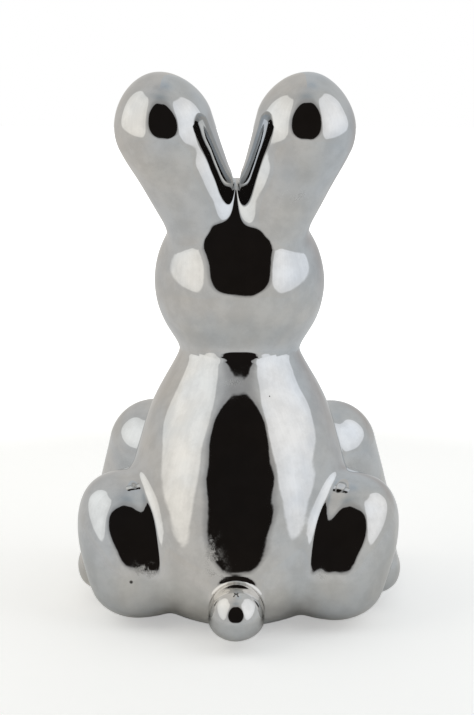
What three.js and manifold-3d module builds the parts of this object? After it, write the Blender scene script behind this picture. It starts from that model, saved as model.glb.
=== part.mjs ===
// A sitting bunny figurine with a mirror-bright metallic glaze, about 242 mm tall.
// It is slip cast: body, head, ears, legs and tail are separate castings that are joined with slip, and every
// joint is smoothed into a fillet. The hollow inside runs on from casting to casting, one wall in from the skin.
// Millimetres, +Z up. The bunny faces -Y, and +X is its own left.

import * as THREE from "three";
import { mergeVertices } from "three/addons/utils/BufferGeometryUtils.js";
import Module from "manifold-3d";

// Walls, joints and base
const wall = 4.5; // thickness of a casting
const seam = 0.3; // least clearance in a joint between two castings
const baseRound = 10; // radius between the sides and the flat base
const pawRound = 3; // the same radius under a front paw

// Body, from the base to the crown that the head hides. Its profile gives shares of these three sizes:
// how far up a section lies, how wide and deep it is, and how far back it sits.
const bodyHeight = 117;
const bodyWidth = 102.6;
const bodyDepth = 106;
const bodyProfile = [
  { up: 0, wide: 0.795, deep: 0.845, back: 0.066 },
  { up: 0.14, wide: 0.903, deep: 1, back: 0.066 },
  { up: 0.37, wide: 1, deep: 0.992, back: 0.028 },
  { up: 0.583, wide: 0.932, deep: 0.9, back: 0.009 },
  { up: 0.796, wide: 0.773, deep: 0.787, back: 0 },
  { up: 1, wide: 0.499, deep: 0.521, back: 0 },
];
const crownRound = 8; // softness of the body's crown
const bodyCore = new THREE.Vector3(0, 0.02 * bodyDepth, 0.39 * bodyHeight); // inner point of the casting

// Head, with its muzzle on the front and a nose on that
const headRise = 30.5; // from the crown to the head's centre
const headForward = 0.7;
const headRadii = new THREE.Vector3(38, 34.6, 40.3);
const neckBlend = 7; // fillet to the body
const muzzleRadii = new THREE.Vector3(15, 11, 12);
const muzzleSink = 8; // its centre behind the head's front
const muzzleDrop = 9; // its centre below the head's
const muzzleBlend = 10;
const noseRadius = 4.5;
const noseSink = 1.5; // its centre behind the muzzle's front
const noseRise = 5.5; // its centre above the muzzle's
const noseBlend = 3;

// Left ear: a rounded tip on a tapered stem, leaning back and outwards
const earSpacing = 21.4; // between the middles of the two roots
const earSetBack = 11.9; // from the head's centre
const earRootSink = 20.2; // the root's middle below the head's top
const earRootRadius = 17.1;
const earNeckRadius = 21; // stem radius where it enters the tip
const earReach = new THREE.Vector3(19.5, 9.8, 48.4); // from the root to the middle of the tip
const earTipRadii = new THREE.Vector3(20.2, 22.9, 25.7);
const earLean = 16; // degrees
const earSplay = 9.2; // degrees
const earTipBlend = 6;
const earNotchBlend = 9.4; // fillet in the notch between the ears
const earBlend = 11; // fillet round the foot of an ear

// Left hind leg: a boxy haunch, and a foot that points forwards and slightly outwards
const haunchIn = 4; // the haunch's centre inside the body's widest
const haunchInset = 30.7; // its centre forward of the body's back
const haunchHeight = 28.6; // its centre above the base
const haunchRadii = new THREE.Vector3(23, 26.3, 36.3);
const haunchPower = 2.44; // 2 would be an ellipsoid, more is boxier
const haunchLean = 18.5; // degrees, top forwards
const haunchTilt = 15.8; // degrees, top outwards
const heelReach = new THREE.Vector3(14.3, -15.9, -15.8); // from the haunch's centre
const heelRadius = 12.2;
const toePlace = new THREE.Vector3(12.5, 12, 11.6); // from the body's side and front, beside the foreleg
const toeRadius = 12.5;
const footBlend = 5.5;
const haunchBlend = 12.6; // fillet to the body

// Left foreleg: an upright leg from the shoulder to a paw. Its places run from the body's side and front.
const shoulderPlace = new THREE.Vector3(-9.8, 16, 62.5);
const shoulderRadius = 22;
const wristPlace = new THREE.Vector3(0.7, 5, 28.5);
const wristRadius = 20.7;
const pawPlace = new THREE.Vector3(-7.3, -4, 9.5);
const pawRadii = new THREE.Vector3(16, 19, 14);
const pawBlend = 8;
const forelegBlend = 10; // fillet to the body

// Tail, its middle behind the body's back and above the base
const tailBehind = 11.5;
const tailHeight = 12.3;
const tailRadii = new THREE.Vector3(12, 15.5, 13);
const tailBlend = 4;

// Vent hole in the base, and the rubber plug that closes it
const ventRadius = 7;
const plugFlangeWidth = 2.5; // how far the flange covers the base round the hole
const plugFlangeThickness = 0.8;
const plugBarb = 0.8; // how far the plug's lip stands out past the hole
const plugLipHeight = 2;
const plugLipTaper = 1; // how much narrower than its shank the plug ends

// Felt pads under the middles of the paws, and inside and behind the middles of the haunches
const padRadius = 5.5;
const padThickness = 1.2;
const rearPadInset = 3.3;
const rearPadBack = 3.5;

// Places that follow from those sizes
const headCentre = new THREE.Vector3(0, -headForward, bodyHeight + headRise);
const muzzleCentre = new THREE.Vector3(0, muzzleSink - headRadii.y, -muzzleDrop).add(headCentre);
const noseCentre = new THREE.Vector3(0, noseSink - muzzleRadii.y, noseRise).add(muzzleCentre);
const earRoot = new THREE.Vector3(earSpacing / 2, earSetBack, headRadii.z - earRootSink).add(headCentre);
const earTip = earRoot.clone().add(earReach);
const haunchCentre = new THREE.Vector3(bodyWidth / 2 - haunchIn, bodyDepth / 2 - haunchInset, haunchHeight);
const heel = haunchCentre.clone().add(heelReach);
const hindCore = heel.clone().lerp(haunchCentre, 0.4);
const bodyFront = new THREE.Vector3(bodyWidth / 2, -bodyDepth / 2, 0);
const toe = bodyFront.clone().add(toePlace);
const shoulder = bodyFront.clone().add(shoulderPlace);
const wrist = bodyFront.clone().add(wristPlace);
const pawCentre = bodyFront.clone().add(pawPlace);
const foreCore = wrist.clone().lerp(shoulder, 0.25);
const tailCentre = new THREE.Vector3(0, bodyDepth / 2 + tailBehind, tailHeight);
const frontPad = pawCentre;
const rearPad = new THREE.Vector3(-rearPadInset, rearPadBack, 0).add(haunchCentre);

const ceramic = new THREE.MeshStandardMaterial({ color: 0xc3c7ca, roughness: 0.05, metalness: 1 });
const rubber = new THREE.MeshStandardMaterial({ color: 0x3a3a3a, roughness: 0.7, metalness: 0 });
const felt = new THREE.MeshStandardMaterial({ color: 0xd8d6cf, roughness: 0.95, metalness: 0 });

const wasm = await Module();
wasm.setup();

// Distance fields: each gives about the distance in mm from a point to a form, negative inside it.

// Smooth union: the lesser distance, drawn in by a cubic where the two differ by less than the width.
function blend(a, b, width) {
  const near = Math.max(width - Math.abs(a - b), 0) / width;
  return Math.min(a, b) - (near * near * near * width) / 6;
}

// Keeps what is inside both, with the edge between them rounded to the radius.
function roundedCut(a, b, radius) {
  const edge = Math.hypot(Math.max(a + radius, 0), Math.max(b + radius, 0));
  return Math.min(-radius, Math.max(a, b)) + edge;
}

// An ellipsoid, or with a power above 2 a boxier superellipsoid, turned by a matrix.
function egg(centre, radii, turn = new THREE.Matrix3(), power = 2) {
  const back = turn.clone().transpose();
  const q = new THREE.Vector3();
  return (p) => {
    q.subVectors(p, centre).applyMatrix3(back);
    const x = Math.abs(q.x) / radii.x;
    const y = Math.abs(q.y) / radii.y;
    const z = Math.abs(q.z) / radii.z;
    const size = Math.pow(x ** power + y ** power + z ** power, 1 / power);
    if (size < 1e-6) return -Math.min(radii.x, radii.y, radii.z);
    const gx = (x / size) ** (power - 1) / radii.x;
    const gy = (y / size) ** (power - 1) / radii.y;
    const gz = (z / size) ** (power - 1) / radii.z;
    return (size - 1) / Math.hypot(gx, gy, gz);
  };
}

// A stem between two points whose radius runs evenly from one end to the other.
function stem(from, to, fromRadius, toRadius) {
  const along = new THREE.Vector3().subVectors(to, from);
  const length2 = along.lengthSq();
  const q = new THREE.Vector3();
  return (p) => {
    q.subVectors(p, from);
    const t = THREE.MathUtils.clamp(q.dot(along) / length2, 0, 1);
    return q.addScaledVector(along, -t).length() - (fromRadius + t * (toRadius - fromRadius));
  };
}

// The body's sections in millimetres
const stations = bodyProfile.map(({ up, wide, deep, back }) => ({
  height: up * bodyHeight,
  halfWidth: (wide * bodyWidth) / 2,
  halfDepth: (deep * bodyDepth) / 2,
  setBack: back * bodyDepth,
}));

// The slope of one size of the body at a station: that of the line through its two neighbours
function stationSlope(size, i) {
  const a = stations[Math.max(i - 1, 0)];
  const b = stations[Math.min(i + 1, stations.length - 1)];
  return (b[size] - a[size]) / (b.height - a.height);
}

const slopes = {};
for (const size of ["halfWidth", "halfDepth", "setBack"]) {
  slopes[size] = stations.map((_, i) => stationSlope(size, i));
}

// The value and slope of one size of the body at a height, on a smooth cubic through the stations
function station(size, height) {
  const s = stations;
  const last = s.length - 1;
  const slope = slopes[size];
  const z = THREE.MathUtils.clamp(height, s[0].height, s[last].height);
  let i = 0;
  while (i < last - 1 && z > s[i + 1].height) i++;
  const h = s[i + 1].height - s[i].height;
  const t = (z - s[i].height) / h;
  const value =
    s[i][size] * (1 + 2 * t) * (1 - t) ** 2 +
    s[i + 1][size] * t * t * (3 - 2 * t) +
    h * t * (1 - t) * (slope[i] * (1 - t) - slope[i + 1] * t);
  const rise =
    ((s[i + 1][size] - s[i][size]) * 6 * t * (1 - t)) / h +
    slope[i] * (1 - t) * (1 - 3 * t) -
    slope[i + 1] * t * (2 - 3 * t);
  return { value, rise };
}

// The body: an upright form of elliptical sections, closed at the top by a soft crown.
function bodyForm(p) {
  const width = station("halfWidth", p.z);
  const depth = station("halfDepth", p.z).value;
  const y = p.y - station("setBack", p.z).value;
  const size = Math.hypot(p.x / width.value, y / depth);
  const grade = Math.hypot(p.x / width.value ** 2, y / depth ** 2);
  const side = size < 1e-6 ? -Math.min(width.value, depth) : (size * (size - 1)) / grade;
  const crown = p.z - bodyHeight;
  return -blend(-side / Math.hypot(1, width.rise), -crown, crownRound);
}

const degrees = (angle) => THREE.MathUtils.degToRad(angle);
const turned = (x, y) =>
  new THREE.Matrix3().setFromMatrix4(
    new THREE.Matrix4().makeRotationX(degrees(x)).multiply(new THREE.Matrix4().makeRotationY(degrees(y))),
  );

const skull = egg(headCentre, headRadii);
const muzzle = egg(muzzleCentre, muzzleRadii);
const nose = egg(noseCentre, new THREE.Vector3(noseRadius, noseRadius, noseRadius));
const headForm = (p) => blend(blend(skull(p), muzzle(p), muzzleBlend), nose(p), noseBlend);

const earEnd = egg(earTip, earTipRadii, turned(-earLean, earSplay));
const earStem = stem(earRoot, earTip, earRootRadius, earNeckRadius);
const earForm = (p) => blend(earEnd(p), earStem(p), earTipBlend);

const haunch = egg(haunchCentre, haunchRadii, turned(haunchLean, haunchTilt), haunchPower);
const foot = stem(heel, toe, heelRadius, toeRadius);
const hindForm = (p) => blend(haunch(p), foot(p), footBlend);

const foreStem = stem(shoulder, wrist, shoulderRadius, wristRadius);
const paw = egg(pawCentre, pawRadii);
const foreForm = (p) => blend(foreStem(p), paw(p), pawBlend);

const tailForm = egg(tailCentre, tailRadii);

// The same form on the bunny's other side
function mirrored(form) {
  const q = new THREE.Vector3();
  return (p) => form(q.set(-p.x, p.y, p.z));
}

// Skins: the outside of the figure once each casting has been joined and its fillet smoothed
const headSkin = (p) => blend(bodyForm(p), headForm(p), neckBlend);
const rightEarForm = mirrored(earForm);
const earSkin = (p) => blend(headSkin(p), blend(earForm(p), rightEarForm(p), earNotchBlend), earBlend);
const hindSkin = (p) => blend(bodyForm(p), hindForm(p), haunchBlend);
const foreSkin = (p) => blend(hindSkin(p), foreForm(p), forelegBlend);
const otherSide = mirrored(foreSkin);
const sideSkin = (p) => (p.x < 0 ? otherSide(p) : foreSkin(p));
const tailSkin = (p) => blend(bodyForm(p), tailForm(p), tailBlend);
const hollowSkin = (p) => blend(sideSkin(p), headForm(p), neckBlend);
const bodySkin = (p) => blend(hollowSkin(p), tailForm(p), tailBlend);

const standing = (form, radius) => (p) => roundedCut(form(p), -p.z, radius);
const within = (form, limit, reach) => (p) => Math.max(form(p), limit(p) - reach);

// A closed surface cast outwards from an inner point: each vertex of a sphere moves out to where the
// form ends. The sphere's pole points along the axis, its rings crowd towards that pole by a power of the
// angle from it, and it is stretched to the form's proportions.
function castFrom(core, form, { segments, rings, axis = [0, 0, 1], crowding = 1, stretch = [1, 1, 1] }) {
  const ball = new THREE.SphereGeometry(1, segments, rings);
  ball.deleteAttribute("normal");
  ball.deleteAttribute("uv");
  crowdRings(ball, crowding);
  const turn = new THREE.Quaternion().setFromUnitVectors(
    new THREE.Vector3(0, 1, 0),
    new THREE.Vector3(...axis).normalize(),
  );
  ball.applyQuaternion(turn);
  ball.scale(...stretch);
  const surface = mergeVertices(ball, 1e-4);
  const place = surface.getAttribute("position");
  const ray = new THREE.Vector3();
  const p = new THREE.Vector3();
  const at = (r) => form(p.copy(core).addScaledVector(ray, r));
  for (let i = 0; i < place.count; i++) {
    ray.fromBufferAttribute(place, i).normalize();
    let inside = 0;
    let outside = 0;
    let depth = at(0);
    while (depth < 0) {
      inside = outside;
      outside += Math.max(-depth * 0.8, 0.3);
      depth = at(outside);
    }
    for (let n = 0; n < 16; n++) {
      const middle = (inside + outside) / 2;
      if (at(middle) < 0) inside = middle;
      else outside = middle;
    }
    place.setXYZ(i, ...p.copy(core).addScaledVector(ray, inside).toArray());
  }
  return solidOf(surface);
}

// Moves a sphere's rings towards its +Y pole: the angle from the pole, as a share of half a turn, to a power
function crowdRings(ball, power) {
  const place = ball.getAttribute("position");
  for (let i = 0; i < place.count; i++) {
    const around = Math.hypot(place.getX(i), place.getZ(i));
    if (around < 1e-6) continue;
    const angle = Math.PI * (Math.acos(place.getY(i)) / Math.PI) ** power;
    const scale = Math.sin(angle) / around;
    place.setXYZ(i, place.getX(i) * scale, Math.cos(angle), place.getZ(i) * scale);
  }
}

// Between three.js geometry and closed solids that can be cut
function solidOf(geometry) {
  const plain = geometry.clone();
  plain.deleteAttribute("normal");
  plain.deleteAttribute("uv");
  const merged = mergeVertices(plain, 1e-4);
  return new wasm.Manifold(
    new wasm.Mesh({
      numProp: 3,
      vertProperties: merged.getAttribute("position").array,
      triVerts: new Uint32Array(merged.index.array),
    }),
  );
}

function geometryOf(solid) {
  const mesh = solid.getMesh();
  const positions = new Float32Array(mesh.numVert * 3);
  for (let i = 0; i < mesh.numVert; i++) {
    positions.set(mesh.vertProperties.subarray(i * mesh.numProp, i * mesh.numProp + 3), i * 3);
  }
  const geometry = new THREE.BufferGeometry();
  geometry.setAttribute("position", new THREE.BufferAttribute(positions, 3));
  geometry.setIndex(new THREE.BufferAttribute(new Uint32Array(mesh.triVerts), 1));
  return geometry;
}

// One casting's form, its share of the figure and the grid that its surface is cast on. What is nearer to
// this form than to the forms joined before it belongs to the casting, so a joint runs along its fillet.
class Casting {
  constructor(core, form, others, grid) {
    Object.assign(this, { core, form, others, grid });
  }
  // The casting's share, drawn in for its own solid or let out to cut its neighbours
  share(clearance) {
    const nearer = (p) => Math.max(this.form(p) - this.others(p), this.form(p) - jointReach) - clearance;
    return castFrom(this.core, nearer, { ...this.grid, ...jointGrid });
  }
  outside(skin) {
    return castFrom(this.core, within(skin, this.form, filletReach), this.grid);
  }
  // The hollow, one wall in from the skin and from the base that the casting stands on
  hollow(skin, radius = baseRound) {
    const inner = (p) => roundedCut(skin(p) + wall, wall - p.z, Math.max(radius - wall, 1));
    return castFrom(this.core, within(inner, this.form, filletReach - wall), { ...this.grid, ...hollowGrid });
  }
}

const filletReach = 3.5; // how far past its own form a casting's surface is followed
const jointReach = 9; // how far past its own form a casting's share runs
const hollowGrid = { segments: 14, rings: 10 };
const jointGrid = { segments: 20, rings: 14 };
const bodyGrid = { segments: 36, rings: 26, stretch: [1, 1.1, 1.4] };
const headGrid = { segments: 30, rings: 22, axis: [0, -1, -0.1], crowding: 1.4, stretch: [1, 0.9, 1] };
const earGrid = { segments: 22, rings: 17, axis: [0.35, 0.2, 0.9], stretch: [1, 1, 1.4] };
const hindGrid = { segments: 25, rings: 20, axis: [0.15, -1, -0.15], stretch: [1, 1.3, 1] };
const foreGrid = { segments: 22, rings: 18, axis: [0.15, -0.3, -1], stretch: [1, 1, 1.5] };
const tailGrid = { segments: 18, rings: 12, axis: [0, 1, 0] };

const head = new Casting(headCentre, headForm, bodyForm, headGrid);
const ear = new Casting(earRoot.clone().lerp(earTip, 0.5), earForm, headSkin, earGrid);
const hindLeg = new Casting(hindCore, hindForm, bodyForm, hindGrid);
const foreleg = new Casting(foreCore, foreForm, hindSkin, foreGrid);
const tail = new Casting(tailCentre, tailForm, bodyForm, tailGrid);
const body = new Casting(bodyCore, bodyForm, bodyForm, bodyGrid);

function mirrorGeometry(geometry) {
  const other = geometry.clone().scale(-1, 1, 1);
  const order = other.index.array;
  for (let i = 0; i < order.length; i += 3) [order[i + 1], order[i + 2]] = [order[i + 2], order[i + 1]];
  return other;
}

const across = (solid) => solidOf(mirrorGeometry(geometryOf(solid)));

function makeBody() {
  const vent = new THREE.CylinderGeometry(ventRadius, ventRadius, 4 * wall, 24).rotateX(Math.PI / 2);
  let solid = body.outside(standing(bodySkin, baseRound)).subtract(body.hollow(hollowSkin));
  for (const joined of [hindLeg, foreleg]) {
    const share = joined.share(seam);
    solid = solid.subtract(share).subtract(across(share));
  }
  return solid.subtract(head.share(seam)).subtract(tail.share(seam)).subtract(solidOf(vent));
}

function makeHead() {
  const ears = ear.share(seam);
  return head
    .outside(earSkin)
    .intersect(head.share(-seam))
    .subtract(head.hollow(earSkin))
    .subtract(ears)
    .subtract(across(ears));
}

function makeEar() {
  const depth = 200;
  const otherHalf = new THREE.BoxGeometry(depth, depth, 2 * depth).translate((seam - depth) / 2, 0, earRoot.z);
  return ear
    .outside(earSkin)
    .intersect(ear.share(-seam))
    .subtract(ear.hollow(earSkin))
    .subtract(solidOf(otherHalf));
}

function makeHindLeg() {
  return hindLeg
    .outside(standing(foreSkin, baseRound))
    .intersect(hindLeg.share(-seam))
    .subtract(hindLeg.hollow(foreSkin))
    .subtract(foreleg.share(seam));
}

function makeForeleg() {
  return foreleg
    .outside(standing(foreSkin, pawRound))
    .intersect(foreleg.share(-seam))
    .subtract(foreleg.hollow(foreSkin, pawRound));
}

function makeTail() {
  return tail.outside(standing(tailSkin, seam)).intersect(tail.share(-seam));
}

// The rubber plug: a flange under the base, a shank through the vent and a lip above the wall
function makePlug() {
  const shank = ventRadius - seam;
  const under = -seam;
  const over = wall + seam;
  const profile = [
    [0, under - plugFlangeThickness],
    [ventRadius + plugFlangeWidth, under - plugFlangeThickness],
    [ventRadius + plugFlangeWidth, under],
    [shank, under],
    [shank, over],
    [ventRadius + plugBarb, over],
    [shank - plugLipTaper, over + plugLipHeight],
    [0, over + plugLipHeight],
  ].map(([r, z]) => new THREE.Vector2(r, z));
  return new THREE.LatheGeometry(profile, 28).rotateX(Math.PI / 2);
}

function makePad() {
  return new THREE.CylinderGeometry(padRadius, padRadius, padThickness, 24).rotateX(Math.PI / 2);
}

function add(group, name, geometry, material) {
  const faceted = geometry.index ? geometry.toNonIndexed() : geometry;
  faceted.computeVertexNormals();
  const mesh = new THREE.Mesh(faceted, material);
  mesh.name = name;
  group.add(mesh);
  return mesh;
}

function addPair(group, name, solid, material) {
  const geometry = geometryOf(solid);
  add(group, "left_" + name, geometry, material);
  add(group, "right_" + name, mirrorGeometry(geometry), material);
}

const castings = new THREE.Group();
add(castings, "body", geometryOf(makeBody()), ceramic);
add(castings, "head", geometryOf(makeHead()), ceramic);
addPair(castings, "ear", makeEar(), ceramic);
addPair(castings, "foreleg", makeForeleg(), ceramic);
addPair(castings, "hind_leg", makeHindLeg(), ceramic);
add(castings, "tail", geometryOf(makeTail()), ceramic);
add(castings, "vent_plug", makePlug(), rubber);
castings.position.z = padThickness + seam;

const figure = new THREE.Group();
figure.add(castings);
for (const [side, x] of [["left", 1], ["right", -1]]) {
  for (const [end, place] of [["front", frontPad], ["rear", rearPad]]) {
    const pad = add(figure, "felt_pad_" + end + "_" + side, makePad(), felt);
    pad.position.set(x * place.x, place.y, padThickness / 2);
  }
}

// The origin lies on the table under the middle of the figure.
const bunny = new THREE.Group();
bunny.add(figure);
const reach = new THREE.Box3().setFromObject(figure, true);
figure.position.set(-(reach.min.x + reach.max.x) / 2, -(reach.min.y + reach.max.y) / 2, -reach.min.z);

export default bunny;
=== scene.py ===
import math

import bpy
import numpy as np
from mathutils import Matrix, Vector


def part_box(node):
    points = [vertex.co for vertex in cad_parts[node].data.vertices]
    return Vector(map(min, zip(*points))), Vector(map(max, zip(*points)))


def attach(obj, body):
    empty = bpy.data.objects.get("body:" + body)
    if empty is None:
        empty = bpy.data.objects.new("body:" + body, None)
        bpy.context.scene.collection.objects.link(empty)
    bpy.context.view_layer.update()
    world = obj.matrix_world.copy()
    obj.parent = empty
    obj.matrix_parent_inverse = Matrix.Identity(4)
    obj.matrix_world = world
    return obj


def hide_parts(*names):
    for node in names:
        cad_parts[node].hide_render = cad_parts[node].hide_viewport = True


# A sitting bunny figurine with a mirror-bright metallic glaze, and the tent of light that it reflects.
# Forms are worked out in millimetres above the figure's base, and meshes are made in metres.
# The bunny faces -Y, and +X is its own left.

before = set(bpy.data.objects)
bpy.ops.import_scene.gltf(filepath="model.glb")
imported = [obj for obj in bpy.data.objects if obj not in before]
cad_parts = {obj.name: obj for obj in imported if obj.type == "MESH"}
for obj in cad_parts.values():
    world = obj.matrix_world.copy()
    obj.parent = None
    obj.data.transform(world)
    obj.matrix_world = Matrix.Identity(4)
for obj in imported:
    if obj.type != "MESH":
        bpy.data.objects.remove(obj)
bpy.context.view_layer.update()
mm = 0.001

# Where the castings' own frame lies in the shared frame, read from a pad that lies under a known point.
padPlaces = {"front": (44.0, -57.0), "rear": (44.0, 25.8)}
padGap = 0.3
padLow, padHigh = (np.array(corner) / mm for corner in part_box("felt_pad_rear_left"))
figurePlace = np.array([0.0, (padLow[1] + padHigh[1]) / 2 - padPlaces["rear"][1], padHigh[2] + padGap])
print("figure stands at", figurePlace.round(3))


# Forms: each gives about the distance in mm from points to a form, negative inside it.

# Smooth union: the lesser distance, drawn in by a cubic where the two differ by less than the width.
def softUnion(a, b, width):
    near = np.maximum(width - np.abs(a - b), 0) / width
    return np.minimum(a, b) - near ** 3 * width / 6


# What is inside both, with the edge between them rounded to the radius.
def roundedCut(a, b, radius):
    edge = np.hypot(np.maximum(a + radius, 0), np.maximum(b + radius, 0))
    return np.minimum(-radius, np.maximum(a, b)) + edge


# An ellipsoid, or boxier with a power above 2: the radius in units of the form, less one, over its slope.
def egg(p, centre, radii, turn=None, power=2.0):
    radii = np.array(radii)
    q = p - np.array(centre)
    if turn is not None:
        q = q @ turn
    q = np.maximum(np.abs(q) / radii, 1e-6)
    size = (q ** power).sum(1) ** (1 / power)
    slope = (q / size[:, None]) ** (power - 1) / radii
    return (size - 1) / np.sqrt((slope ** 2).sum(1))


# A stem whose radius runs evenly between its ends: the distance to its line, less the radius there.
def stem(p, start, end, startRadius, endRadius):
    start = np.array(start)
    along = np.array(end) - start
    q = p - start
    t = np.clip(q @ along / (along @ along), 0, 1)
    reach = np.sqrt(((q - t[:, None] * along) ** 2).sum(1))
    return reach - (startRadius + t * (endRadius - startRadius))


# A turn about X and then about the turned Y, in degrees; its columns are the form's own axes.
def turned(aboutX, aboutY):
    cx, sx = math.cos(math.radians(aboutX)), math.sin(math.radians(aboutX))
    cy, sy = math.cos(math.radians(aboutY)), math.sin(math.radians(aboutY))
    turnX = np.array([[1, 0, 0], [0, cx, -sx], [0, sx, cx]])
    turnY = np.array([[cy, 0, sy], [0, 1, 0], [-sy, 0, cy]])
    return turnX @ turnY


# A form's distance where the points lie near enough for it to matter, and a far value elsewhere.
def whereNear(near, form, p):
    distance = np.full(len(p), 99.0)
    distance[near] = form(p[near])
    return distance


bodyShape = {
    "height": 117.3,
    "width": 102.6,
    "depth": 106.0,
    "crownRound": 8.0,
    "up": np.array([0, 0.1194, 0.2387, 0.37, 0.583, 0.796, 1]),
    "wide": np.array([0.758, 0.8635, 0.946, 1.004, 0.925, 0.767, 0.511]),
    "behind": np.array([0.874, 0.929, 0.954, 0.973, 0.898, 0.812, 0.515]),
    "before": np.array([0.873, 1.081, 1.103, 1.044, 0.95, 0.787, 0.521]),
    "back": np.array([0.064, 0.112, 0.093, 0.054, 0.034, 0, 0]),
}


# A size of the body at heights, and how it changes: a cubic through its stations, whose slope at each
# station runs through the neighbours.
def stationAt(z, values):
    heights = bodyShape["up"] * bodyShape["height"]
    i = np.arange(len(heights))
    before, after = np.maximum(i - 1, 0), np.minimum(i + 1, len(heights) - 1)
    slopes = (values[after] - values[before]) / (heights[after] - heights[before])
    z = np.clip(z, heights[0], heights[-1])
    k = np.clip(np.searchsorted(heights, z) - 1, 0, len(heights) - 2)
    h = heights[k + 1] - heights[k]
    t = (z - heights[k]) / h
    value = values[k] * (1 + 2 * t) * (1 - t) ** 2 + values[k + 1] * t * t * (3 - 2 * t)
    value += h * t * (1 - t) * (slopes[k] * (1 - t) - slopes[k + 1] * t)
    rise = (values[k + 1] - values[k]) * 6 * t * (1 - t) / h
    rise += slopes[k] * (1 - t) * (1 - 3 * t) - slopes[k + 1] * t * (2 - 3 * t)
    return value, rise


# The body: upright, with sections of two half ellipses given by its stations, closed by a soft crown.
def bodyForm(p):
    z = p[:, 2]
    width, rise = stationAt(z, bodyShape["wide"] * bodyShape["width"] / 2)
    behind = stationAt(z, bodyShape["behind"] * bodyShape["depth"] / 2)[0]
    before = stationAt(z, bodyShape["before"] * bodyShape["depth"] / 2)[0]
    y = p[:, 1] - stationAt(z, bodyShape["back"] * bodyShape["depth"])[0]
    depth = np.where(y > 0, behind, before)
    size = np.maximum(np.hypot(p[:, 0] / width, y / depth), 1e-6)
    slope = np.maximum(np.hypot(p[:, 0] / width ** 2, y / depth ** 2), 1e-8)
    side = size * (size - 1) / slope / np.hypot(1, rise)
    return -softUnion(-side, bodyShape["height"] - z, bodyShape["crownRound"])


headShape = {
    "centre": (0, -1, 147.8),
    "radii": (38.3, 35.6, 39.5),
    "muzzle": (0, -27.3, 138.5),
    "muzzleRadii": (15, 11, 12),
    "muzzleBlend": 10.0,
    "nose": (0, -36.8, 144),
    "noseRadii": (4.5, 4.5, 4.5),
    "noseBlend": 3.0,
    "neckBlend": 11.5,
    "napeBlend": 17.0,
    "napeDepth": 28.0,
}


# The head: a tall egg with a low muzzle and a small nose blended on.
def headForm(p):
    skull = egg(p, headShape["centre"], headShape["radii"])
    muzzle = egg(p, headShape["muzzle"], headShape["muzzleRadii"])
    nose = egg(p, headShape["nose"], headShape["noseRadii"])
    return softUnion(softUnion(skull, muzzle, headShape["muzzleBlend"]), nose, headShape["noseBlend"])


earShape = {
    "root": (11.5, 12.2, 171),
    "rootRadius": 16.3,
    "neckRadius": 21.5,
    "tip": (30.4, 21.1, 217.2),
    "tipRadii": (19.1, 22.9, 24.5),
    "turn": turned(-24.2, 8.2),
    "tipBlend": 6.0,
    "notchBlend": 11.4,
    "blend": 12.1,
}


# The left ear: an egg at the tip of a stem that widens towards it.
def earForm(p):
    tip = egg(p, earShape["tip"], earShape["tipRadii"], earShape["turn"])
    ear = stem(p, earShape["root"], earShape["tip"], earShape["rootRadius"], earShape["neckRadius"])
    return softUnion(tip, ear, earShape["tipBlend"])


hindShape = {
    "haunch": (47.1, 21.3, 27.6),
    "haunchRadii": (22.9, 28.9, 36.9),
    "haunchTurn": turned(13.3, 15.9),
    "haunchPower": 2.42,
    "heel": (59.9, 7.2, 16.1),
    "heelRadius": 14.3,
    "toe": (62.7, -41, 11.6),
    "toeRadius": 11.7,
    "footBlend": 2.2,
    "blend": 8.0,
}


# The left hind leg: a boxy haunch with a foot that points forwards.
def hindForm(p):
    shape = hindShape
    haunch = egg(p, shape["haunch"], shape["haunchRadii"], shape["haunchTurn"], shape["haunchPower"])
    foot = stem(p, shape["heel"], shape["toe"], shape["heelRadius"], shape["toeRadius"])
    return softUnion(haunch, foot, shape["footBlend"])


foreShape = {
    "shoulder": (41.9, -37, 62.1),
    "shoulderRadius": 22.0,
    "wrist": (52.6, -50, 28.5),
    "wristRadius": 19.9,
    "paw": (44, -57, 9.5),
    "pawRadii": (16, 19, 14),
    "pawBlend": 8.0,
    "blend": 10.0,
}


# The left foreleg: a stem from the shoulder to the wrist, with an egg for the paw.
def foreForm(p):
    shape = foreShape
    leg = stem(p, shape["shoulder"], shape["wrist"], shape["shoulderRadius"], shape["wristRadius"])
    paw = egg(p, shape["paw"], shape["pawRadii"])
    return softUnion(leg, paw, shape["pawBlend"])


tailShape = {"centre": (-1.2, 65.5, 12.3), "radii": (12.2, 15.5, 13.6), "blend": 4.0}


# The tail: an egg, low on the back.
def tailForm(p):
    return egg(p, tailShape["centre"], tailShape["radii"])


baseShape = {"round": 10.6, "pawRound": 3.0, "pawSpread": 6.0}

# Heights in mm beyond which a form has no part in the skin, and the depth at which the tail's begins.
formReach = {"bodyTop": 145, "headLow": 80, "earLow": 130, "legTop": 110, "tailFront": 20}


# The distance to each form on its own, with the left one of a pair measured on both sides of the middle.
def figureForms(p):
    left = np.column_stack([np.abs(p[:, 0]), p[:, 1], p[:, 2]])
    z = p[:, 2]
    high, low = z > formReach["earLow"], z < formReach["legTop"]
    return {
        "body": whereNear(z < formReach["bodyTop"], bodyForm, p),
        "head": whereNear(z > formReach["headLow"], headForm, p),
        "ear": whereNear(high, earForm, left),
        "otherEar": whereNear(high, earForm, left * (-1, 1, 1)),
        "hind": whereNear(low, hindForm, left),
        "fore": whereNear(low, foreForm, left),
        "tail": whereNear((p[:, 1] > formReach["tailFront"]) & low, tailForm, p),
    }


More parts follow.
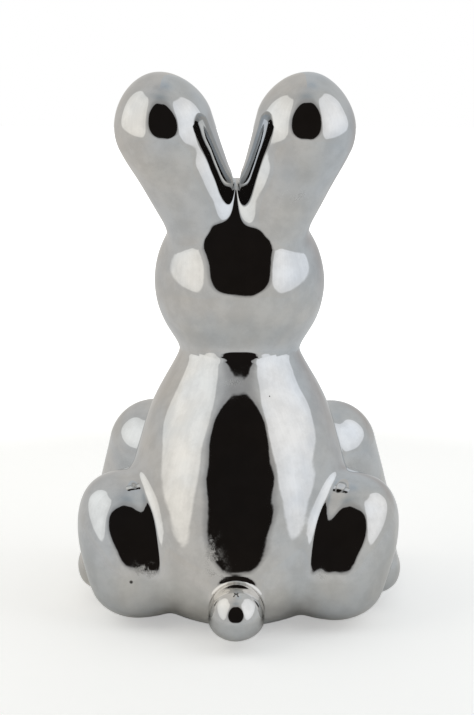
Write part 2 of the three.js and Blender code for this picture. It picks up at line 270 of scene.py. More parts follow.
# The whole skin: the forms joined one after another with their fillets, then cut level at the base. The
# neck's fillet widens from the sides to the nape.
def skinOf(forms, p):
    ears = softUnion(forms["ear"], forms["otherEar"], earShape["notchBlend"])
    nape = np.clip(p[:, 1] / headShape["napeDepth"], 0, 1) ** 2
    neckBlend = headShape["neckBlend"] + nape * (headShape["napeBlend"] - headShape["neckBlend"])
    skin = softUnion(forms["body"], forms["head"], neckBlend)
    skin = softUnion(skin, ears, earShape["blend"])
    skin = softUnion(skin, forms["hind"], hindShape["blend"])
    pawShare = np.clip((skin - forms["fore"]) / baseShape["pawSpread"] + 0.5, 0, 1)
    skin = softUnion(skin, forms["fore"], foreShape["blend"])
    skin = softUnion(skin, forms["tail"], tailShape["blend"])
    pawShare = pawShare ** 2 * (3 - 2 * pawShare)
    baseRadius = baseShape["round"] + pawShare * (baseShape["pawRound"] - baseShape["round"])
    return roundedCut(skin, -p[:, 2], baseRadius)


# The distance from points to the whole skin
def figureSkin(p):
    return skinOf(figureForms(p), p)


# Slow waves in the glaze: a sum of sines over straight directions, of one slope and many wavelengths.
waves = {"count": 14, "slope": 0.0055, "shortest": 9.0, "longest": 46.0, "seed": 11, "levelBelow": 3.0}
waveRandom = np.random.default_rng(waves["seed"])
waveWays = waveRandom.normal(size=(waves["count"], 3))
waveWays /= np.linalg.norm(waveWays, axis=1)[:, None]
waveLengths = np.geomspace(waves["shortest"], waves["longest"], waves["count"])
waveNumbers = waveWays * (2 * math.pi / waveLengths)[:, None]
wavePhases = waveRandom.uniform(0, 2 * math.pi, waves["count"])
waveHeights = waves["slope"] * waveLengths / (2 * math.pi)


# The waves' height at points and its rate of change along X, Y and Z.
def glazeWaves(p):
    angles = p @ waveNumbers.T + wavePhases
    return np.sin(angles) @ waveHeights, (np.cos(angles) * waveHeights) @ waveNumbers


# Unit vectors of a form's steepest rise, from differences a small step to either side.
def steepest(form, p, step=0.02):
    rise = np.empty_like(p)
    for axis in range(3):
        shift = np.zeros(3)
        shift[axis] = step
        rise[:, axis] = form(p + shift) - form(p - shift)
    return rise / np.linalg.norm(rise, axis=1)[:, None]


# Rays from a short line in a form: rings of directions about an axis, stretched to the form's proportions,
# with one ray at each pole. A ray starts as far along the line as the cosine of its angle from the axis.
# Columns gather about one angle and rings about another, by the share that their spacing shrinks there.
def sphereRays(columns, rings, axis, stretch, core, spine, gather=(0, 0), ringGather=(0, 0)):
    down = np.pi * np.arange(1, rings) / rings
    around = 2 * np.pi * np.arange(columns) / columns
    around -= gather[1] * np.sin(around - math.radians(gather[0]))
    busy = math.radians(ringGather[0])
    down -= ringGather[1] * (np.sin(2 * (down - busy)) + math.sin(2 * busy)) / 2
    v, u = np.meshgrid(down, around, indexing="ij")
    ball = np.stack([np.sin(v) * np.cos(u), np.sin(v) * np.sin(u), np.cos(v)], -1).reshape(-1, 3)
    ball = np.vstack([ball, (0, 0, 1), (0, 0, -1)])
    turn = np.array(Vector((0, 0, 1)).rotation_difference(Vector(axis)).to_matrix())
    ways = ball @ turn.T * np.array(stretch)
    starts = np.array(core, float) + ball[:, 2:] * np.array(spine, float)
    return starts, ways / np.linalg.norm(ways, axis=1)[:, None]


# Corner numbers of the faces on those rings: four to a face between rings, three at the poles.
def sphereFaces(columns, rings):
    i, j = np.meshgrid(np.arange(rings - 2), np.arange(columns), indexing="ij")
    k = (j + 1) % columns
    quads = np.stack([i * columns + j, (i + 1) * columns + j, (i + 1) * columns + k, i * columns + k], -1)
    j = np.arange(columns)
    k = (j + 1) % columns
    last = (rings - 2) * columns
    north, south = (rings - 1) * columns, (rings - 1) * columns + 1
    top = np.stack([np.full(columns, north), j, k], -1)
    bottom = np.stack([np.full(columns, south), last + k, last + j], -1)
    return quads.reshape(-1, 4), np.vstack([top, bottom])


march = {"stride": 0.8, "leastStep": 0.3, "halvings": 6, "leastSlope": 0.05}


# Points where rays first leave a form: steps of most of the depth left, then halving, then a straight-line
# guess between the two sides.
def castSurface(starts, ways, form):
    inside = np.zeros(len(ways))
    outside = np.zeros(len(ways))
    depth = form(starts)
    going = np.arange(len(ways))
    while len(going):
        inside[going] = outside[going]
        outside[going] += np.maximum(-depth[going] * march["stride"], march["leastStep"])
        depth[going] = form(starts[going] + ways[going] * outside[going, None])
        going = going[depth[going] < 0]
    for _ in range(march["halvings"]):
        middle = (inside + outside) / 2
        within = form(starts + ways * middle[:, None]) < 0
        inside = np.where(within, middle, inside)
        outside = np.where(within, outside, middle)
    low, high = form(starts + ways * inside[:, None]), form(starts + ways * outside[:, None])
    reach = inside + (outside - inside) * low / np.minimum(low - high, -1e-12)
    rest = form(starts + ways * reach[:, None])
    slope = (high - low) / np.maximum(outside - inside, 1e-9)
    reach = np.clip(reach - rest / np.maximum(slope, march["leastSlope"]), inside, outside)
    return starts + ways * reach[:, None]


# Every face's corners in one row, and how many corners each has
def faceLists(quads, ends):
    corners = np.concatenate([quads.ravel(), ends.ravel()])
    return corners, np.concatenate([np.full(len(quads), 4), np.full(len(ends), 3)])


# A mesh object from points in millimetres over the base, with its faces' corners and its points' normals.
def makeMesh(name, points, corners, counts, normals=None):
    mesh = bpy.data.meshes.new(name)
    mesh.vertices.add(len(points))
    mesh.vertices.foreach_set("co", ((points + figurePlace) * mm).astype(np.float32).ravel())
    mesh.loops.add(len(corners))
    mesh.loops.foreach_set("vertex_index", corners.astype(np.int32))
    mesh.polygons.add(len(counts))
    starts = np.concatenate([[0], np.cumsum(counts)[:-1]])
    mesh.polygons.foreach_set("loop_start", starts.astype(np.int32))
    mesh.polygons.foreach_set("loop_total", counts.astype(np.int32))
    mesh.polygons.foreach_set("use_smooth", np.ones(len(counts), bool))
    mesh.update(calc_edges=True)
    if normals is not None:
        mesh.normals_split_custom_set_from_vertices(normals.astype(np.float32))
    piece = bpy.data.objects.new(name, mesh)
    bpy.context.scene.collection.objects.link(piece)
    return piece


sway = {"height": 240.0, "terms": (-1.9, 1.7, 1.8)}


# The figure's slight sway to one side: a cubic of the share of the height, in mm, and its rate of change
def swayAt(z):
    share = z / sway["height"]
    a, b, c = sway["terms"]
    aside = a * share + b * share ** 2 + c * share ** 3
    return aside, (a + 2 * b * share + 3 * c * share ** 2) / sway["height"]


# Marks on the glaze: handling haze and dark flaws, each a bell of its own width and strength.
glazeMarks = {
    "haze": [
        {"at": (40.5, 49.7, 26.8), "width": 3.6, "strength": 1.0},
        {"at": (36.5, 49.4, 27), "width": 3.2, "strength": 0.9},
        {"at": (9.5, 54.5, 44), "width": 3.0, "strength": 0.8},
        {"at": (9, 56.3, 37), "width": 4.0, "strength": 1.0},
        {"at": (7.5, 58.3, 30), "width": 4.5, "strength": 1.0},
        {"at": (-37.5, 49.7, 25.5), "width": 2.6, "strength": 0.6},
        {"at": (1.5, 34, 106.5), "width": 4.5, "strength": 0.7},
        {"at": (-26.5, 34.5, 189), "width": 6.0, "strength": 0.5},
    ],
    "flaw": [
        {"at": (45.2, 50.8, 22.1), "width": 1.1, "strength": 1.0},
    ],
}


# The marks of a kind at points: the sum of their bells, at most 1
def marksAt(p, kind):
    total = np.zeros(len(p))
    for mark in glazeMarks[kind]:
        apart = ((p - np.array(mark["at"])) ** 2).sum(1)
        total += mark["strength"] * np.exp(-apart / mark["width"] ** 2)
    return np.minimum(total, 1)


# A casting: its share of the whole skin, followed to a little beyond its own form and then rounded in
# under its neighbours, with the glaze's waves raised along the normals. Side -1 gives the other side's.
def makeCasting(name, node, shape, grid, side=1):
    points, normals = shape
    quads, ends = sphereFaces(grid["columns"], grid["rings"])
    if side < 0:
        points, normals = points * (-1, 1, 1), normals * (-1, 1, 1)
        quads, ends = quads[:, ::-1], ends[:, ::-1]
    height, rise = glazeWaves(points)
    level = np.clip(points[:, 2] / waves["levelBelow"], 0, 1)  # the base stays level
    rise -= normals * (rise * normals).sum(1)[:, None]
    lean = normals - rise * level[:, None]
    points = points + normals * (height * level)[:, None]
    aside, slant = swayAt(points[:, 2])
    points[:, 0] += aside
    lean[:, 2] -= lean[:, 0] * slant
    piece = makeMesh(name, points, *faceLists(quads, ends), lean / np.linalg.norm(lean, axis=1)[:, None])
    for kind in glazeMarks:
        mark = piece.data.attributes.new(kind, "FLOAT", "POINT")
        mark.data.foreach_set("value", marksAt(points, kind).astype(np.float32))
    piece.data.materials.append(glaze)
    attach(piece, "root")
    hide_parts(node)


# How far castings run on at the skin past the line where a neighbour's form is as near, in mm: the plain
# overlap, and the overlaps of pairs in which one casting covers the other's edge. Those of a pair add up to
# a little less than none, so that two castings cross at a clear angle just under the skin.
joint = {
    "overlap": -0.4,
    "pairs": {
        ("head", "ear"): 8.0,
        ("head", "otherEar"): 8.0,
        ("ear", "head"): -8.8,
        ("ear", "otherEar"): -5.0,
        ("tail", "body"): 1.2,
        ("body", "tail"): -2.0,
    },
    "fall": 0.12,
    "reach": 5.0,
    "edge": 1.2,
    "skinDepth": 2.5,
}


# A casting's share of the skin. Where its own form is nearer than every other, by the overlap, it is the
# skin itself. Beyond, it falls away under its neighbour ever faster until it turns in at the reach.
def shareOf(own):
    def share(p):
        forms = figureForms(p)
        past = np.full(len(p), -99.0)
        for name, distance in forms.items():
            if name != own:
                overlap = joint["pairs"].get((own, name), joint["overlap"])
                past = np.maximum(past, forms[own] - distance - overlap)
        sunk = skinOf(forms, p) + joint["fall"] * np.maximum(past, 0) ** 2
        return roundedCut(sunk, past - joint["reach"], joint["edge"])
    return share


# The points of a casting on its own grid of rays. Their normals are the whole skin's where it is close.
def castShape(form, grid):
    points = castSurface(*sphereRays(**grid), form)
    normals = steepest(form, points)
    shown = figureSkin(points) > -joint["skinDepth"]
    normals[shown] = steepest(figureSkin, points[shown])
    return points, normals


# An empty material, its nodes and its links
def newMaterial(name):
    material = bpy.data.materials.new(name)
    material.use_nodes = True
    material.node_tree.nodes.clear()
    return material, material.node_tree.nodes, material.node_tree.links


# A node with values for its inputs or its own settings
def addNode(nodes, kind, label, **values):
    node = nodes.new(kind)
    node.label = label
    for key, value in values.items():
        if key in node.inputs:
            node.inputs[key].default_value = value
        else:
            setattr(node, key, value)
    return node


# A material with a principled shader, and the object's own coordinates to draw it on
def newSurface(name, label, **values):
    material, nodes, links = newMaterial(name)
    output = addNode(nodes, "ShaderNodeOutputMaterial", "output")
    shader = addNode(nodes, "ShaderNodeBsdfPrincipled", label, **values)
    links.new(shader.outputs["BSDF"], output.inputs["Surface"])
    return material, nodes, links, shader, addNode(nodes, "ShaderNodeTexCoord", "place")


# Noise whose patches are about the size in mm
def addNoise(nodes, links, coordinates, label, size, detail=2.0, roughness=0.5):
    noise = addNode(nodes, "ShaderNodeTexNoise", label, Detail=detail, Roughness=roughness)
    noise.inputs["Scale"].default_value = 1 / (size * mm)
    links.new(coordinates.outputs["Object"], noise.inputs["Vector"])
    return noise.outputs["Fac"]


# A smooth change from one span of values to another
def addRange(nodes, links, source, label, span, to=(0, 1)):
    change = addNode(nodes, "ShaderNodeMapRange", label, interpolation_type="SMOOTHSTEP")
    for key, value in zip(("From Min", "From Max", "To Min", "To Max"), (*span, *to)):
        change.inputs[key].default_value = value
    links.new(source, change.inputs["Value"])
    return change.outputs["Result"]


# One operation on two values, each an output or a number
def addMath(nodes, links, label, operation, first, second, **values):
    node = addNode(nodes, "ShaderNodeMath", label, operation=operation, **values)
    for value, socket in zip((first, second), node.inputs):
        if isinstance(value, (int, float)):
            socket.default_value = value
        else:
            links.new(value, socket)
    return node.outputs[0]


# A colour between two others by a share
def addMix(nodes, links, label, share, first, second):
    mix = addNode(nodes, "ShaderNodeMix", label, data_type="RGBA")
    mix.inputs["B"].default_value = second
    links.new(share, mix.inputs["Factor"])
    if isinstance(first, tuple):
        mix.inputs["A"].default_value = first
    else:
        links.new(first, mix.inputs["A"])
    return mix.outputs["Result"]


# A bump from a height of the depth in mm
def addBump(nodes, links, label, height, depth, strength=1.0, **values):
    bump = addNode(nodes, "ShaderNodeBump", label, Strength=strength, Distance=depth * mm, **values)
    links.new(height, bump.inputs["Height"])
    return bump


# Sizes and depths in mm
glazeLook = {
    "cool": (0.645, 0.665, 0.685, 1),
    "warm": (0.705, 0.685, 0.655, 1),
    "tintSize": 42.0,
    "tintSpan": (0.35, 0.65),
    "polish": 0.035,
    "mottleSize": 9.0,
    "mottleSpan": (0.35, 0.65),
    "mottle": 0.11,
    "cloudSize": 15.0,
    "cloudSpan": (0.52, 0.8),
    "cloud": 0.25,
    "smearSize": 4.5,
    "smearSpan": (0.4, 0.62),
    "haze": 0.3,
    "film": 0.7,
    "peelSize": 3.2,
    "peelHeight": 0.012,
    "pinholeSpacing": 13.0,
    "pinholeWidth": 0.35,
    "pinholeDepth": 0.12,
    "pinholeRarity": 0.8,
    "flawSpan": (0.3, 0.6),
    "pit": (0.06, 0.055, 0.05, 1),
}


# The glaze: a metal mirror whose colour drifts from cool to warm and is mottled, with clouds of haze,
# greasy smears where the marks lie, a fine orange peel and scattered pinholes.
def makeGlaze():
    look = glazeLook
    material, nodes, links, shader, place = newSurface("metallicGlaze", "glaze")

    drift = addNoise(nodes, links, place, "colour drift", look["tintSize"], 3)
    share = addRange(nodes, links, drift, "drift range", look["tintSpan"])
    tint = addMix(nodes, links, "tint", share, look["cool"], look["warm"])
    mottle = addNoise(nodes, links, place, "mottle", look["mottleSize"], 6, 0.62)
    dim = addRange(nodes, links, mottle, "mottle range", look["mottleSpan"], (1 - look["mottle"], 1))
    mottled = addNode(nodes, "ShaderNodeVectorMath", "mottled tint", operation="SCALE")
    links.new(tint, mottled.inputs[0])
    links.new(dim, mottled.inputs["Scale"])

    spacing = look["pinholeSpacing"]
    cells = addNode(nodes, "ShaderNodeTexVoronoi", "pinhole cells", Scale=1 / (spacing * mm))
    links.new(place.outputs["Object"], cells.inputs["Vector"])
    width = look["pinholeWidth"] / spacing
    hole = addRange(nodes, links, cells.outputs["Distance"], "pinhole", (width, width * 0.5))
    pick = addNode(nodes, "ShaderNodeSeparateColor", "pick cells")
    links.new(cells.outputs["Color"], pick.inputs["Color"])
    few = addMath(nodes, links, "few cells", "GREATER_THAN", pick.outputs["Red"], look["pinholeRarity"])
    pits = addMath(nodes, links, "pits", "MULTIPLY", hole, few)
    flaws = addNode(nodes, "ShaderNodeAttribute", "flaws", attribute_name="flaw")
    flawEdge = addRange(nodes, links, flaws.outputs["Fac"], "flaw edges", look["flawSpan"])
    spots = addMath(nodes, links, "pits and flaws", "MAXIMUM", pits, flawEdge)
    colour = addMix(nodes, links, "pits in the colour", spots, mottled.outputs["Vector"], look["pit"])
    links.new(colour, shader.inputs["Base Color"])

    marks = addNode(nodes, "ShaderNodeAttribute", "handling marks", attribute_name="haze")
    streaks = addNoise(nodes, links, place, "streaks in the marks", look["smearSize"], 5, 0.65)
    torn = addRange(nodes, links, streaks, "torn marks", look["smearSpan"])
    smears = addMath(nodes, links, "smears", "MULTIPLY", marks.outputs["Fac"], torn)
    clouds = addNoise(nodes, links, place, "haze clouds", look["cloudSize"], 5, 0.6)
    cloudy = addRange(nodes, links, clouds, "cloud range", look["cloudSpan"], (0, look["cloud"]))
    haze = addMath(nodes, links, "haze", "ADD", smears, cloudy, use_clamp=True)
    hazed = addMath(nodes, links, "haze and pits", "MAXIMUM", haze, pits)
    rough = addRange(nodes, links, hazed, "roughness", (0, 1), (look["polish"], look["haze"]))
    links.new(rough, shader.inputs["Roughness"])
    film = addRange(nodes, links, smears, "greasy film", (0, 1), (1, 1 - look["film"]))
    links.new(film, shader.inputs["Metallic"])

    peel = addNoise(nodes, links, place, "orange peel", look["peelSize"], 1)
    peelBump = addBump(nodes, links, "peel bump", peel, look["peelHeight"])
    pitBump = addBump(nodes, links, "pit bump", pits, look["pinholeDepth"], invert=True)
    links.new(peelBump.outputs["Normal"], pitBump.inputs["Normal"])
    links.new(pitBump.outputs["Normal"], shader.inputs["Normal"])
    return material


rubberLook = {
    "dark": (0.035, 0.035, 0.036, 1),
    "pale": (0.07, 0.068, 0.065, 1),
    "mottleSize": 5.0,
    "grain": 0.8,
    "grainDepth": 0.1,
}


# Moulded rubber: two near blacks mottled together, with a fine grain.
def makeRubber():
    look = rubberLook
    material, nodes, links, shader, place = newSurface("plugRubber", "rubber", Roughness=0.7)
    mottle = addNoise(nodes, links, place, "mottle", look["mottleSize"], 3)
    colour = addMix(nodes, links, "rubber colour", mottle, look["dark"], look["pale"])
    links.new(colour, shader.inputs["Base Color"])
    grain = addNoise(nodes, links, place, "grain", look["grain"], 2)
    bump = addBump(nodes, links, "grain bump", grain, look["grainDepth"], 0.4)
    links.new(bump.outputs["Normal"], shader.inputs["Normal"])
    return material


feltLook = {
    "pale": (0.7, 0.68, 0.63, 1),
    "grey": (0.52, 0.5, 0.46, 1),
    "sheen": 0.3,
    "fibre": 0.7,
    "tangle": 1.5,
    "fibreDepth": 0.25,
}


# Pressed felt: matted fibres in two pale greys, with a soft sheen.
def makeFelt():
    look = feltLook
    material, nodes, links, shader, place = newSurface("padFelt", "felt", Roughness=0.95)
    shader.inputs["Sheen Weight"].default_value = look["sheen"]
    fibres = addNoise(nodes, links, place, "fibres", look["fibre"], 6, 0.7)
    fibres.node.inputs["Distortion"].default_value = look["tangle"]
    colour = addMix(nodes, links, "felt colour", fibres, look["grey"], look["pale"])
    links.new(colour, shader.inputs["Base Color"])
    bump = addBump(nodes, links, "fibre bump", fibres, look["fibreDepth"], 0.8)
    links.new(bump.outputs["Normal"], shader.inputs["Normal"])
    return material


glaze = makeGlaze()
rubber = makeRubber()
felt = makeFelt()
print("materials made")

# The castings, each with the grid of rays that draws it. The right ones mirror the left.
castings = {
    "body": {
        "core": (0, 2, 58),
        "spine": (0, 0, 34),
        "axis": (0, 0, 1),
        "stretch": (1, 1.1, 1.2),
        "columns": 370,
        "rings": 262,
        "nodes": {"bodyCasting": ("body", 1)},
    },
    "head": {
        "core": headShape["centre"],
        "spine": (0, 0, 0),
        "axis": (0, 0.6, 0.8),
        "stretch": (1, 0.95, 1),
        "columns": 320,
        "rings": 300,
        "ringGather": (20, 0.5),
        "nodes": {"headCasting": ("head", 1)},
    },
    "ear": {
        "core": (20.5, 16, 192),
        "spine": (9, 4.5, 22),
        "axis": (0.37, 0.19, 0.91),
        "stretch": (1, 1, 1),
        "columns": 330,
        "rings": 290,
        "gather": (172, 0.6),
        "ringGather": (112, 0.45),
        "nodes": {"leftEarCasting": ("left_ear", 1), "rightEarCasting": ("right_ear", -1)},
    },
    "hind": {
        "core": (55.9, 10, 20),
        "spine": (3, -20, -5),
        "axis": (0.15, -0.97, -0.2),
        "stretch": (1, 1, 1),
        "columns": 280,
        "rings": 260,
        "nodes": {
            "leftHindLegCasting": ("left_hind_leg", 1),
            "rightHindLegCasting": ("right_hind_leg", -1),
        },
    },
    "fore": {
        "core": (47, -45, 38),
        "spine": (2, -7, -22),
        "axis": (0.08, -0.3, -0.95),
        "stretch": (1, 1, 1),
        "columns": 240,
        "rings": 240,
        "nodes": {
            "leftForelegCasting": ("left_foreleg", 1),
            "rightForelegCasting": ("right_foreleg", -1),
        },
    },
    "tail": {
        "core": tailShape["centre"],
        "spine": (0, 0, 0),
        "axis": (0, 1, 0),
        "stretch": (1, 1, 1),
        "columns": 220,
        "rings": 160,
        "nodes": {"tailCasting": ("tail", 1)},
    },
}
for form, grid in castings.items():
    nodes = grid.pop("nodes")
    shape = castShape(shareOf(form), grid)
    for pieceName, (nodeName, side) in nodes.items():
        makeCasting(pieceName, nodeName, shape, grid, side)
    print(form, "cast")


# A turned piece: a profile of radius and height carried round the upright line through a centre.
def makeTurned(name, node, material, centre, profile, columns=96):
    profile = np.array(profile)
    around = 2 * np.pi * np.arange(columns) / columns
    ring = profile[1:-1]
    x = ring[:, :1] * np.cos(around) + centre[0]
    y = ring[:, :1] * np.sin(around) + centre[1]
    z = np.repeat(ring[:, 1:], columns, 1)
    points = np.stack([x, y, z], -1).reshape(-1, 3)
    poles = [(centre[0], centre[1], profile[0, 1]), (centre[0], centre[1], profile[-1, 1])]
    quads, ends = sphereFaces(columns, len(ring) + 1)
    piece = makeMesh(name, np.vstack([points, poles]), *faceLists(quads, ends))
    piece.data.materials.append(material)
    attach(piece, "root")
    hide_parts(node)


# A quarter round from the end of one face to the start of the next, as radius and height
def quarter(radius, height, edge, start, steps=6):
    angles = np.radians(start + np.linspace(0, -90, steps + 1))
    return [(radius + edge * math.cos(a), height + edge * math.sin(a)) for a in angles]


# The felt pads: discs with rounded edges
padShape = {"radius": 5.5, "edge": 0.35, "bottom": -1.5, "top": -0.02}
edge = padShape["edge"]
padRound = quarter(padShape["radius"] - edge, padShape["top"] - edge, edge, 90)
padRound += quarter(padShape["radius"] - edge, padShape["bottom"] + edge, edge, 0)
padProfile = [(0, padShape["top"]), *padRound, (0, padShape["bottom"])]
for end, (x, y) in padPlaces.items():
    for sideName, side in {"left": 1, "right": -1}.items():
        node = "felt_pad_" + end + "_" + sideName
        piece = "feltPad" + end.capitalize() + sideName.capitalize()
        makeTurned(piece, node, felt, (side * x, y), padProfile)

# The plug: a shank with a tapered end and a lip inside the wall, and a round flange with a dished face
plugShape = {
    "shank": 6.7,
    "endTaper": 1.0,
    "top": 6.8,
    "lip": 7.8,
    "lipHeight": 0.4,
    "wall": 4.8,
    "flange": 9.5,
    "flangeTop": -0.05,
    "under": -1.1,
    "edge": 0.3,
    "dish": 0.5,
    "dishTaper": 0.8,
}
shank, edge, under = plugShape["shank"], plugShape["edge"], plugShape["under"]
flangeTop, rim = plugShape["flangeTop"], plugShape["flange"] - plugShape["edge"]
plugProfile = [
    (0, plugShape["top"]),
    (shank - plugShape["endTaper"], plugShape["top"]),
    (plugShape["lip"], plugShape["wall"] + plugShape["lipHeight"]),
    (plugShape["lip"], plugShape["wall"]),
    (shank, plugShape["wall"]),
    (shank, flangeTop),
    (rim, flangeTop),
    *quarter(rim, flangeTop - edge, edge, 90)[1:],
    *quarter(rim, under + edge, edge, 0),
    (shank, under),
    (shank - plugShape["dishTaper"], under + plugShape["dish"]),
    (0, under + plugShape["dish"]),
]
makeTurned("ventPlugRubber", "vent_plug", rubber, (0, 0), plugProfile)
print("pads and plug made")


tent = {
    "middle": 100.0,  # mm above the base
    "reach": 0.53,  # m across the table
    "rise": 1.6,
    "lowest": -14.0,
    "paper": (0.63, 0.635, 0.635),
    "warmPaper": (0.65, 0.635, 0.61),
    "coolPaper": (0.61, 0.635, 0.65),
    "paperTurn": 120.0,
    "halo": (0.4, 0.4, 0.4),
    "haloHeights": (-6, 4, 40, 54),
    "haloWidths": (3.5, 7.0, 7.0, 15.0),
    "folds": 0.009,
    "dark": (0.012, 0.01, 0.009),
    "leftWindow": (1.15, 1.14, 1.10),
    "rightWindow": (1.11, 1.14, 1.18),
    "windowMiddle": (77.5, 25.5),
    "windowHalf": (35.5, 31.5),
    "windowBlur": 1.2,
    "rimLight": 0.87,
    "rimFade": (2.0, -16.0),
    "innerCorner": 16.0,
    "outerCorner": 27.0,
    "slantStart": (62.0, -6.0),
    "slantRise": 0.35,
    "slantCorner": 5.0,
    "darkMiddle": (-2.5, 23.5),
    "darkHalf": (37.0, 30.5),
    "darkCorner": 28.0,
    "darkBlur": 0.8,
    "shades": [
        {"at": (0, 90), "width": (400, 14), "tint": (0.84, 0.86, 0.89)},
        {"at": (-130, 76), "width": (45, 8), "tint": (0.88, 0.92, 0.96)},
        {"at": (0, 66), "width": (42, 10), "tint": (0.64, 0.69, 0.73)},
        {"at": (-150, 6), "width": (28, 17), "tint": (0.86, 0.8, 0.77)},
        {"at": (150, 6), "width": (28, 17), "tint": (0.95, 0.94, 0.93)},
    ],
}


# Smooth step from 0 to 1 between two values
def smoothStep(low, high, value):
    t = np.clip((value - low) / (high - low), 0, 1)
    return t * t * (3 - 2 * t)


# Degrees outside a rectangle with round corners, in azimuth and elevation
def outsideFrame(az, el, middle, half, corner):
    x, y = np.abs(az - middle[0]) - half[0] + corner, np.abs(el - middle[1]) - half[1] + corner
    return np.hypot(np.maximum(x, 0), np.maximum(y, 0)) + np.minimum(np.maximum(x, y), 0) - corner


# The tent's light by azimuth from +Y towards +X and by elevation: paper that is warm on one side and cool
# on the other and shaded in soft bells, two windows with faint folds that fade at their rims, and a dark
# opening with a dim edge.
def tentLight(az, el):
    side = (np.clip(az / tent["paperTurn"], -1, 1) + 1)[:, None] / 2
    light = np.array(tent["coolPaper"]) * (1 - side) + np.array(tent["warmPaper"]) * side
    for shade in tent["shades"]:
        (middleAz, middleEl), (width, height) = shade["at"], shade["width"]
        bell = np.exp(-((az - middleAz) / width) ** 2 - ((el - middleEl) / height) ** 2)[:, None]
        light *= 1 - bell * (1 - np.array(shade["tint"]))
    folds = np.sin(az * 0.61 + 1.3 * np.sin(el * 0.09)) + np.sin(az * 1.37 + 2 + np.sin(el * 0.13))
    folds = 1 + tent["folds"] * folds[:, None]
    opening = outsideFrame(az, el, tent["darkMiddle"], tent["darkHalf"], tent["darkCorner"])
    spread = np.interp(el, tent["haloHeights"], tent["haloWidths"])
    halo = (1 - smoothStep(0, spread, opening))[:, None]
    light += halo * (np.array(tent["halo"]) - light)
    for window, way in (("leftWindow", 1), ("rightWindow", -1)):
        corner = np.where(az * way > tent["windowMiddle"][0], tent["outerCorner"], tent["innerCorner"])
        rim = outsideFrame(az * way, el, tent["windowMiddle"], tent["windowHalf"], corner)
        slant = tent["slantRise"] * (az * way - tent["slantStart"][0]) - el + tent["slantStart"][1]
        rim = roundedCut(rim, slant / math.hypot(1, tent["slantRise"]), tent["slantCorner"])
        share = (1 - smoothStep(-tent["windowBlur"], tent["windowBlur"], rim))[:, None]
        fade = tent["rimLight"] + (1 - tent["rimLight"]) * smoothStep(*tent["rimFade"], rim)[:, None]
        light += share * (np.array(tent[window]) * fade * folds - light)
    share = (1 - smoothStep(-tent["darkBlur"], tent["darkBlur"], opening))[:, None]
    return light + share * (np.array(tent["dark"]) - light)


# The tent: an egg about the figure, from below the table up, that carries its light as a colour attribute.
def makeTent(columns=720, rows=300):
    azimuths = np.linspace(-180, 180, columns, endpoint=False)
    elevations = np.linspace(tent["lowest"], 90, rows, endpoint=False)
    az, el = (grid.ravel() for grid in np.meshgrid(azimuths, elevations))
    level, up = np.cos(np.radians(el)), np.sin(np.radians(el))
    way = np.stack([np.sin(np.radians(az)) * level, np.cos(np.radians(az)) * level, up], -1)
    points = way / np.hypot(level / tent["reach"], up / tent["rise"])[:, None] / mm + (0, 0, tent["middle"])
    i, j = np.meshgrid(np.arange(rows - 1), np.arange(columns), indexing="ij")
    k = (j + 1) % columns
    quads = np.stack([i * columns + j, i * columns + k, (i + 1) * columns + k, (i + 1) * columns + j], -1)
    cap = (rows - 1) * columns + np.arange(columns)
    corners = np.concatenate([quads.reshape(-1), cap])
    counts = np.concatenate([np.full(quads.shape[0] * quads.shape[1], 4), [columns]])
    piece = makeMesh("tent", points, corners, counts)
    colours = np.column_stack([tentLight(az, el), np.ones(len(az))])
    light = piece.data.color_attributes.new("light", "FLOAT_COLOR", "POINT")
    light.data.foreach_set("color", colours.astype(np.float32).ravel())
    material, nodes, links = newMaterial("tentLight")
    output = addNode(nodes, "ShaderNodeOutputMaterial", "output")
    glow = addNode(nodes, "ShaderNodeEmission", "glow", Strength=1.0)
    source = addNode(nodes, "ShaderNodeAttribute", "light", attribute_name="light")
    links.new(source.outputs["Color"], glow.inputs["Color"])
    links.new(glow.outputs["Emission"], output.inputs["Surface"])
    piece.data.materials.append(material)
    piece.visible_camera = False


makeTent()


# Distances from the figure in mm
floorLook = {
    "colour": (0.88, 0.88, 0.855, 1),
    "openShade": 0.6,
    "sightReach": (300.0, 520.0),
    "mirrorReach": (0.0, 280.0),
    "tintReach": (-500.0, 500.0),
    "half": 3200.0,
}


# A span of distances in the scene's metres
def inMetres(span):
    return tuple(end * mm for end in span)


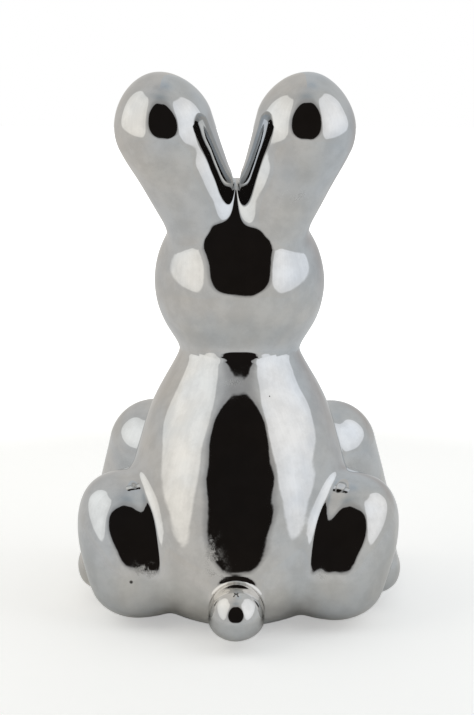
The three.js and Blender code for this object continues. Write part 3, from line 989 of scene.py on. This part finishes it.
# The floor: pale and matt. The camera sees it lifted to white where it is open, so its shadow stays. Away
# from the figure the glaze mirrors it in the tent's own paper tones, which lie plain up to the paper.
def makeFloor():
    look = floorLook
    material, nodes, links = newMaterial("paleFloor")
    output = addNode(nodes, "ShaderNodeOutputMaterial", "output")
    matt = addNode(nodes, "ShaderNodeBsdfDiffuse", "matt", Color=look["colour"])
    white = addNode(nodes, "ShaderNodeEmission", "white", Color=(1, 1, 1, 1))
    paper = addNode(nodes, "ShaderNodeEmission", "paper", Strength=1.0)
    path = addNode(nodes, "ShaderNodeLightPath", "path")
    place = addNode(nodes, "ShaderNodeTexCoord", "place")
    away = addNode(nodes, "ShaderNodeVectorMath", "away", operation="LENGTH")
    links.new(place.outputs["Object"], away.inputs[0])
    away = away.outputs["Value"]
    sightSpan, shades = inMetres(look["sightReach"]), (1 - look["openShade"], 1)
    lifted = addRange(nodes, links, away, "sight reach", sightSpan, shades)
    lift = addMath(nodes, links, "lift", "MULTIPLY", path.outputs["Is Camera Ray"], lifted)
    links.new(lift, white.inputs["Strength"])

    sides = addNode(nodes, "ShaderNodeSeparateXYZ", "sides")
    links.new(place.outputs["Object"], sides.inputs[0])
    warmth = addRange(nodes, links, sides.outputs["X"], "warmth", inMetres(look["tintReach"]))
    tone = addMix(nodes, links, "paper tone", warmth, (*tent["coolPaper"], 1), (*tent["warmPaper"], 1))
    links.new(tone, paper.inputs["Color"])
    far = addRange(nodes, links, away, "mirror reach", inMetres(look["mirrorReach"]))
    mirrored = addMath(nodes, links, "mirrored", "MULTIPLY", path.outputs["Is Glossy Ray"], far)
    plain = addNode(nodes, "ShaderNodeMixShader", "matt or paper")
    links.new(mirrored, plain.inputs["Fac"])
    links.new(matt.outputs["BSDF"], plain.inputs[1])
    links.new(paper.outputs["Emission"], plain.inputs[2])
    both = addNode(nodes, "ShaderNodeAddShader", "both")
    links.new(plain.outputs["Shader"], both.inputs[0])
    links.new(white.outputs["Emission"], both.inputs[1])
    links.new(both.outputs["Shader"], output.inputs["Surface"])

    half = look["half"]
    corners = np.array([(-half, -half, 0), (half, -half, 0), (half, half, 0), (-half, half, 0)])
    floor = makeMesh("floor", corners - figurePlace, np.arange(4), np.array([4]))
    floor.data.materials.append(material)


makeFloor()
print("tent and floor made")

# The world: white where the camera sees it, the tent's paper where light or a reflection reaches it
world = bpy.data.worlds.new("studio")
bpy.context.scene.world = world
world.use_nodes = True
worldNodes, worldLinks = world.node_tree.nodes, world.node_tree.links
worldNodes.clear()
worldOut = addNode(worldNodes, "ShaderNodeOutputWorld", "output")
paperLight = addNode(worldNodes, "ShaderNodeBackground", "paper", Color=(*tent["paper"], 1), Strength=1.0)
whiteSight = addNode(worldNodes, "ShaderNodeBackground", "white", Color=(1, 1, 1, 1), Strength=1.0)
sight = addNode(worldNodes, "ShaderNodeLightPath", "sight")
either = addNode(worldNodes, "ShaderNodeMixShader", "either")
worldLinks.new(sight.outputs["Is Camera Ray"], either.inputs["Fac"])
worldLinks.new(paperLight.outputs["Background"], either.inputs[1])
worldLinks.new(whiteSight.outputs["Background"], either.inputs[2])
worldLinks.new(either.outputs["Shader"], worldOut.inputs["Surface"])

# The camera, where the photograph was taken from: its place in mm, its lens and picture width in pixels,
# its sensor in mm, and how near and far it sees in m. The picture is 474 wide and 715 high, a size that is
# not set here.
shot = {
    "at": (-29.2, 785, 270.9),
    "towards": (0.9, 0, 113.8),
    "lens": 1762.0,
    "width": 474.0,
    "sensor": 36.0,
    "near": 0.05,
    "far": 20,
}
cameraData = bpy.data.cameras.new("camera")
camera = bpy.data.objects.new("camera", cameraData)
bpy.context.scene.collection.objects.link(camera)
cameraData.sensor_fit = "HORIZONTAL"
cameraData.sensor_width = shot["sensor"]
cameraData.lens = shot["lens"] * shot["sensor"] / shot["width"]
cameraData.clip_start = shot["near"]
cameraData.clip_end = shot["far"]
shiftY = Vector((0, figurePlace[1], 0))
eye = (Vector(shot["at"]) + shiftY) * mm
aim = (Vector(shot["towards"]) + shiftY) * mm
camera.location = eye
camera.rotation_euler = (aim - eye).to_track_quat("-Z", "Y").to_euler()
bpy.context.scene.camera = camera
bpy.context.scene.view_settings.view_transform = "Standard"
